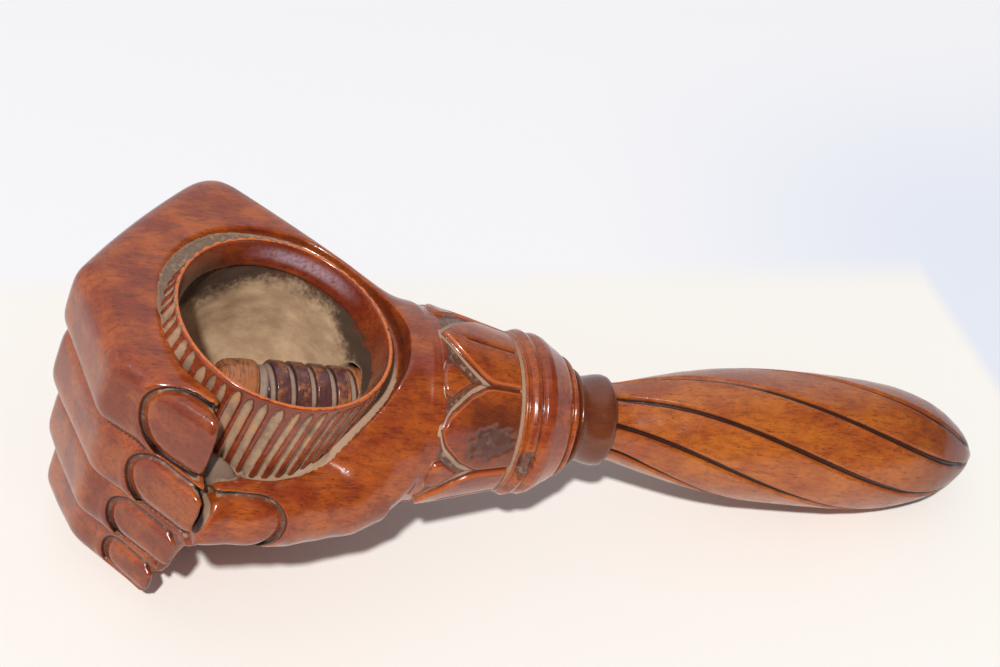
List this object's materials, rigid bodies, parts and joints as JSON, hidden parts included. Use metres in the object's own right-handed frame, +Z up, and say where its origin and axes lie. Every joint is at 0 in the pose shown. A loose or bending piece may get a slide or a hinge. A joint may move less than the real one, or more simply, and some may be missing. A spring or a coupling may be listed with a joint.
{
  "type": "screw nutcracker",
  "caption": "Wooden screw nutcracker carved as a clenched hand round a fluted nut bowl, with a spiral handle.",
  "frame": {"origin": "centre of the nutcracker's bounding box on the table that it lies on", "axes": "+X from the fist to the handle's end, +Y to the back of the hand, +Z up from the table; the screw's axis slopes down to the handle by about 14 degrees"},
  "size_m": [0.1744, 0.066, 0.0648],
  "materials": {
    "polished_walnut": "french polished, dark red-brown, dusty in the recesses",
    "polished_grip": "french polished, red-brown, handled smooth",
    "worn_screw_wood": "worn and dry, polish rubbed off the crests"
  },
  "bodies": {
    "fist": {"carved_fist": "polished_walnut"},
    "nose": {"pressure_nose": "worn_screw_wood"},
    "turning": {"screw": "worn_screw_wood", "handle": "polished_grip"}
  },
  "joints": [
    {"name": "screw_travel", "type": "slide", "parent": "fist", "child": "nose", "axis": [0.969, 0, -0.2471], "range_m": [0, 0.0216]},
    {"name": "handle_turn", "type": "hinge", "parent": "nose", "child": "turning", "pos_m": [-0.05166, -0.00716, 0.04228], "axis": [0.969, 0, -0.2471], "range_deg": [0, 2160]}
  ],
  "couplings": [
    {"joint": "screw_travel", "follows": "handle_turn", "m_per_rad": 0.00057295}
  ]
}
